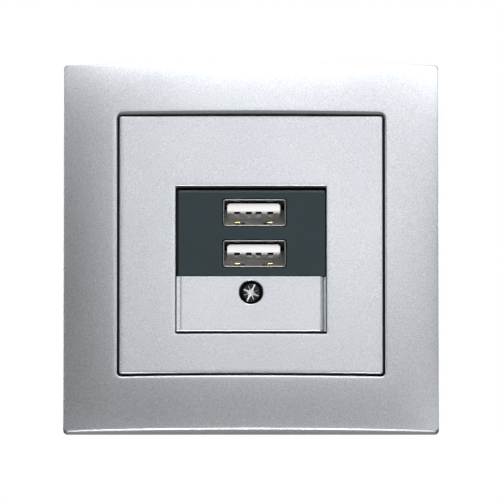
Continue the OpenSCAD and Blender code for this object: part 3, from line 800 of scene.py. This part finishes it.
def make_tongue(name, node):
    a, b = nb(node)
    x0, x1, z0, z1 = a[0], b[0], a[2] + 0.10, b[2] - 0.04
    front, back = -a[1], -b[1]
    # outline with chamfered upper corners and slots for the four contacts in its lower face
    verts = []
    out = [(x0 + 0.12, z0), (x1 - 0.12, z0), (x1, z0 + 0.12), (x1, z1 - 0.42), (x1 - 0.45, z1), (x0 + 0.45, z1), (x0, z1 - 0.42), (x0, z0 + 0.12)]
    cx, cz = (x0 + x1) / 2, (z0 + z1) / 2
    levels = [(front - 0.45, 0.0), (front - 0.12, 0.0), (front, 0.12)]
    rings = [(back, 0.0)] + levels
    faces = []
    n = len(out)
    for (h, ins) in rings:
        for (x, z) in out:
            dx = -math.copysign(ins, x - cx)
            dz = -math.copysign(ins, z - cz)
            if dz > 0:
                dz *= 0.35
            verts.append(((x + dx) * MM, -h * MM, (z + dz) * MM))
    for k in range(len(rings) - 1):
        for i in range(n):
            j = (i + 1) % n
            faces.append((k * n + i, k * n + j, (k + 1) * n + j, (k + 1) * n + i))
    faces.append(tuple(range(n)))
    faces.append(tuple(range((len(rings) - 1) * n, len(rings) * n)))
    o = link(name, mesh_from(name, verts, faces, False))
    for dx in (-3.5, -1, 1, 3.5):
        boolean(o, link("c", box_mesh("c", cx + dx - 0.60, cx + dx + 0.60, -front + 0.55, -front + 2.70, z0 - 0.5, z0 + 0.75)))
    bev = o.modifiers.new("bev", "BEVEL")
    bev.width = 0.05 * MM
    bev.segments = 2
    bev.limit_method = "ANGLE"
    bev.angle_limit = math.radians(40)
    apply_mods(o)
    for p in o.data.polygons:
        p.use_smooth = True
    o.data.set_sharp_from_angle(angle=math.radians(40))
    return o

def strip_mesh(x0, x1, path, t):
    """bent sheet strip: path is a list of (height over wall, z) along its middle"""
    verts, faces = [], []
    n = len(path)
    for i, (h, z) in enumerate(path):
        p0 = path[max(i - 1, 0)]
        p1 = path[min(i + 1, n - 1)]
        dh, dz = p1[0] - p0[0], p1[1] - p0[1]
        l = math.hypot(dh, dz) or 1
        nh, nz_ = -dz / l * t / 2, dh / l * t / 2
        for (x, s) in ((x0, 1), (x1, 1), (x1, -1), (x0, -1)):
            verts.append((x * MM, -(h + nh * s) * MM, (z + nz_ * s) * MM))
    for i in range(n - 1):
        for k in range(4):
            k2 = (k + 1) % 4
            faces.append((i * 4 + k, i * 4 + k2, (i + 1) * 4 + k2, (i + 1) * 4 + k))
    faces.append((0, 1, 2, 3))
    faces.append(((n - 1) * 4 + 3, (n - 1) * 4 + 2, (n - 1) * 4 + 1, (n - 1) * 4))
    return mesh_from("strip", verts, faces, True, 40)

for tag, (px, pz, pw, ph, pf) in zip(("upper", "lower"), PORTS):
    o = make_shell("usb_shell_sheet_" + tag, px, pz, pw, ph, pf)
    finish_piece(o, "insert", "shell_steel", "usb_shell_" + tag)
    # painted light: the inside of the shell gets a much brighter copy of the shell metal so it throws more light onto
    # the tongue, while the rim keeps the darker copy
    paint_faces(o, "shell_inside_brightened", lambda x, h, z, n: h < pf - 0.35 and abs(x - px) < pw - 0.1 and abs(z - pz) < ph - 0.1)
    # painted shade: the upper wall just inside the rim is darkened as if in the rim's shadow
    paint_faces(o, "slot_shade", lambda x, h, z, n: h < pf - 0.06 and n[2] < -0.55 and pz + ph - 0.33 < z < pz + ph - 0.02)
    o = make_tongue("usb_tongue_moulded_" + tag, "usb_tongue_" + tag)
    finish_piece(o, "insert", "white_plastic", "usb_tongue_" + tag)
    ta, tb = nb("usb_tongue_" + tag)
    tcx, tz0 = (ta[0] + tb[0]) / 2, ta[2]
    # painted shade in the tongue's contact slots
    paint_faces(o, "slot_shade", lambda x, h, z, n: -tb[1] < h < -ta[1] - 0.50 and ta[2] + 0.12 < z < ta[2] + 0.87 and
                min(abs(x - tcx - dx) for dx in (-3.5, -1, 1, 3.5)) < 0.63)
    parts = []
    for dx in (-3.5, -1, 1, 3.5):
        path = [(-12.0, tz0 - 0.17), (-5.4, tz0 - 0.17), (-4.8, tz0 + 0.05), (-4.4, tz0 + 0.40), (-0.6, tz0 + 0.45), (0.0, tz0 + 0.20), (0.5, tz0 - 0.12),
                (1.0, tz0 - 0.34), (1.5, tz0 - 0.42), (1.92, tz0 - 0.43), (2.08, tz0 - 0.39), (2.16, tz0 - 0.30), (2.18, tz0 - 0.18), (2.19, tz0 - 0.08)]
        parts.append(strip_mesh(tcx + dx - 0.48, tcx + dx + 0.48, path, 0.14))
    o = join("usb_contact_row_" + tag, parts)
    finish_piece(o, "insert", "gold_contact", "usb_contacts_" + tag)
    # painted highlight: the bent tips get a near-white copy of the contact metal that stands in for their glint
    paint_faces(o, "contact_tip_highlight", lambda x, h, z, n: h > -2)
    ia, ib = nb("usb_insulator_" + tag)
    iw, ih, icx, icz = (ib[0] - ia[0]) / 2, (ib[2] - ia[2]) / 2, (ia[0] + ib[0]) / 2, (ia[2] + ib[2]) / 2
    S = [(iw - d, ih - d, 0.34, icx, icz, h_) for d, h_ in ((0.0, -ib[1]), (0.0, -ia[1] - 0.16), (0.05, -ia[1] - 0.05), (0.16, -ia[1]), (1.2, -ia[1]))]
    me = sweep("ins", S, 6, 6, False)
    bm = bmesh.new()
    bm.from_mesh(me)
    bmesh.ops.holes_fill(bm, edges=[e for e in bm.edges if e.is_boundary], sides=0)
    bmesh.ops.recalc_face_normals(bm, faces=bm.faces)
    bm.to_mesh(me)
    bm.free()
    o = join("usb_insulator_block_" + tag, [me])
    finish_piece(o, "insert", "socket_plastic", "usb_insulator_" + tag)
    parts, tabs = [], []
    zb = pz - ph + 0.3
    for dx in (-3.55, 3.3):
        path = [(-1.5, zb + 0.09), (0.3, zb + 0.09), (0.9, zb + 0.12), (1.8, zb + 0.38), (2.8, zb + 0.70), (3.5, zb + 0.89), (3.9, zb + 0.93), (4.3, zb + 0.84), (4.9, zb + 0.53)]
        parts.append(strip_mesh(px + dx - 0.46, px + dx + 0.46, path, 0.14))
        # the plain tab beside each sprung one
        e = 1 if dx < 0 else -1
        path = [(-1.5, zb + 0.08), (0.6, zb + 0.08), (2.4, zb + 0.40), (3.6, zb + 0.66), (4.2, zb + 0.64), (4.6, zb + 0.50)]
        tabs.append(strip_mesh(px + dx + e * 1.14 - 0.46, px + dx + e * 1.14 + 0.46, path, 0.12))
    o = join("usb_spring_pair_" + tag, parts)
    finish_piece(o, "insert", "gold_contact", "usb_springs_" + tag)
    o = join("usb_shell_tabs_" + tag, tabs)
    finish_piece(o, "insert", "shell_steel", mat="tab_metal")

# ------------------------------------------------------------------ bevelled copies of the plainer CAD parts
def refine(node, body, slot, width=0.12, seg=2, name=None, angle=30, mat=None):
    """a copy of the node's mesh with its flat faces joined and its edges rounded"""
    src = frame["nodes"][node]
    me = src.data.copy()
    bm = bmesh.new()
    bm.from_mesh(me)
    bmesh.ops.remove_doubles(bm, verts=bm.verts, dist=1e-6)
    bmesh.ops.dissolve_limit(bm, angle_limit=math.radians(1.0), verts=bm.verts, edges=bm.edges)
    bm.to_mesh(me)
    bm.free()
    me.materials.clear()
    o = link(name or node + "_fine", me)
    b = o.modifiers.new("bev", "BEVEL")
    b.width = width * MM
    b.segments = seg
    b.limit_method = "ANGLE"
    b.angle_limit = math.radians(angle)
    b.use_clamp_overlap = True
    b.harden_normals = False
    apply_mods(o)
    for p in o.data.polygons:
        p.use_smooth = True
    o.data.set_sharp_from_angle(angle=math.radians(38))
    # large flat faces keep their own normal, only the rounded edges blend
    wn = o.modifiers.new("wn", "WEIGHTED_NORMAL")
    wn.mode = "FACE_AREA"
    wn.weight = 60
    wn.keep_sharp = True
    apply_mods(o)
    return finish_piece(o, body, slot, node, mat=mat)

node_body = {n: b for b, ns_ in record["behaviour"]["bodies"].items() for n in ns_}
node_slot = {s["node"]: s["material_slot"] for s in record["subparts"]}
for n, w in (("rear_housing", 0.25), ("front_chassis", 0.12), ("support_ring", 0.12), ("terminal_block", 0.15),
             ("left_claw", 0.12), ("right_claw", 0.12), ("usb_board", 0.06), ("main_board", 0.06),
             ("transformer_core", 0.2), ("bridge_rectifier", 0.18), ("switching_ic", 0.12), ("optocoupler", 0.12),
             ("charge_controller", 0.08), ("input_capacitors", 0.3), ("output_capacitors", 0.3), ("fuse", 0.35),
             ("varistor", 0.5), ("input_choke", 0.2), ("live_cage", 0.12), ("neutral_cage", 0.12),
             ("contact_bars", 0.08), ("transformer_winding", 0.25), ("screw_bush", 0.1),
             ("housing_screws", 0.06), ("live_screw", 0.08), ("neutral_screw", 0.08),
             ("left_claw_screw", 0.1), ("right_claw_screw", 0.1)):
    refine(n, node_body[n], node_slot[n], w)

# ------------------------------------------------------------------ camera, at the photo's angle: 12.3 degrees from below
ELEV = math.radians(12.3)
SPAN = 0.10453                   # metres across the 500 px frame
LENS = 1200
cam_data = bpy.data.cameras.new("cam")
cam = bpy.data.objects.new("cam", cam_data)
scene.collection.objects.link(cam)
cam_data.sensor_width = 36
cam_data.lens = LENS
DIST = LENS / 36 * SPAN
aim = Vector((-0.00022, -0.0028, -0.00033))
back = Vector((0, -math.cos(ELEV), -math.sin(ELEV)))
cam.location = aim + back * DIST
cam.rotation_mode = "QUATERNION"
cam.rotation_quaternion = back.to_track_quat("Z", "Y")
cam_data.clip_start = 0.1
cam_data.clip_end = 20
scene.camera = cam

# ------------------------------------------------------------------ light
scene.view_settings.view_transform = "Standard"
scene.view_settings.look = "None"

AMBIENT = 0.005
w = bpy.data.worlds.new("studio")
scene.world = w
w.use_nodes = True
nt = w.node_tree
nt.nodes.clear()
wo = nt.nodes.new("ShaderNodeOutputWorld")
b1 = nt.nodes.new("ShaderNodeBackground")
b2 = nt.nodes.new("ShaderNodeBackground")
b1.inputs["Color"].default_value = (0.96, 0.98, 1.0, 1)
b1.inputs["Strength"].default_value = AMBIENT
b2.inputs["Color"].default_value = (1, 1, 1, 1)
b2.inputs["Strength"].default_value = 1.0
lp = nt.nodes.new("ShaderNodeLightPath")
mx = nt.nodes.new("ShaderNodeMixShader")
nt.links.new(lp.outputs["Is Camera Ray"], mx.inputs["Fac"])
nt.links.new(b1.outputs["Background"], mx.inputs[1])
nt.links.new(b2.outputs["Background"], mx.inputs[2])
nt.links.new(mx.outputs["Shader"], wo.inputs["Surface"])

def area(name, az, el, dist, size, energy, size_y=None, color=(1, 1, 1)):
    """soft box seen from the object at azimuth az (0 = straight in front, + to the right) and elevation el"""
    d = bpy.data.lights.new(name, "AREA")
    d.shape = "RECTANGLE"
    d.size = size
    d.size_y = size_y or size
    d.energy = energy
    d.color = color
    o = bpy.data.objects.new(name, d)
    scene.collection.objects.link(o)
    a, e = math.radians(az), math.radians(el)
    p = Vector((math.sin(a) * math.cos(e), -math.cos(a) * math.cos(e), math.sin(e))) * dist
    o.location = p
    o.rotation_mode = "QUATERNION"
    o.rotation_quaternion = p.to_track_quat("Z", "Y")
    o.visible_camera = False
    return o

# pale floor, far enough below for the camera that looks up at the object
fl = bpy.data.materials.new("studio_floor")
fl.use_nodes = True
fnt = fl.node_tree
fbs = fnt.nodes["Principled BSDF"]
ftc = fnt.nodes.new("ShaderNodeTexCoord")
fno = fnt.nodes.new("ShaderNodeTexNoise")
fno.inputs["Scale"].default_value = 14
fno.inputs["Detail"].default_value = 3
fnt.links.new(ftc.outputs["Object"], fno.inputs["Vector"])
fnt.links.new(ramp(fnt, fno.outputs["Fac"], [(0.3, (0.80, 0.80, 0.80)), (0.7, (0.86, 0.86, 0.86))]), fbs.inputs["Base Color"])
fbs.inputs["Roughness"].default_value = 0.75
floor = link("studio_floor", bpy.data.meshes.new("studio_floor"))
bmf = bmesh.new()
bmesh.ops.create_grid(bmf, x_segments=4, y_segments=4, size=8.0)
bmf.to_mesh(floor.data)
bmf.free()
floor.data.materials.append(fl)
floor.location = (0, 0, -2.6)

# behind the wall plane, so the back shows as well
for (nm, az, el, di, si, en) in (("rear", 180, 40, 0.9, 0.35, 3.6), ("rear_left", -125, 18, 0.9, 0.3, 1.5),
                                 ("rear_right", 125, 18, 0.9, 0.3, 1.5)):
    area(nm, az, el, di, si, en)

# name, azimuth, elevation, distance, size, watts
LIGHTS = [
    ("below", 0, -51, 0.85, 0.30, 5.2),
    ("low_right", 30, -14, 0.85, 0.30, 0.36),
    ("low_left", -30, -14, 0.85, 0.30, 0.07),
    ("low_front", 0, -14, 0.85, 0.30, 0.05),
    ("front", 0, 12, 0.85, 0.30, 0.44),
    ("front_right", 20, 12, 0.85, 0.30, 0.30),
    ("key", 0, 34, 0.85, 0.30, 0.46),
    ("key_right", 32, 35, 0.85, 0.30, 0.86),
    ("key_left", -33, 36, 0.85, 0.30, 0.34),
    ("top", 0, 56, 0.85, 0.30, 2.10),
    ("under_back", 180, -55, 0.90, 0.30, 2.05),
    ("side_left", -84, 8, 0.85, 0.30, 0.8),
    ("mid_left", -54, 10, 0.85, 0.30, 0.35),
    ("side_right", 84, 8, 0.85, 0.30, 0.9),
    ("mid_right", 54, 10, 0.85, 0.30, 0.22),
]
for (nm, az, el, di, si, en) in LIGHTS:
    area(nm, az, el, di, si, en)
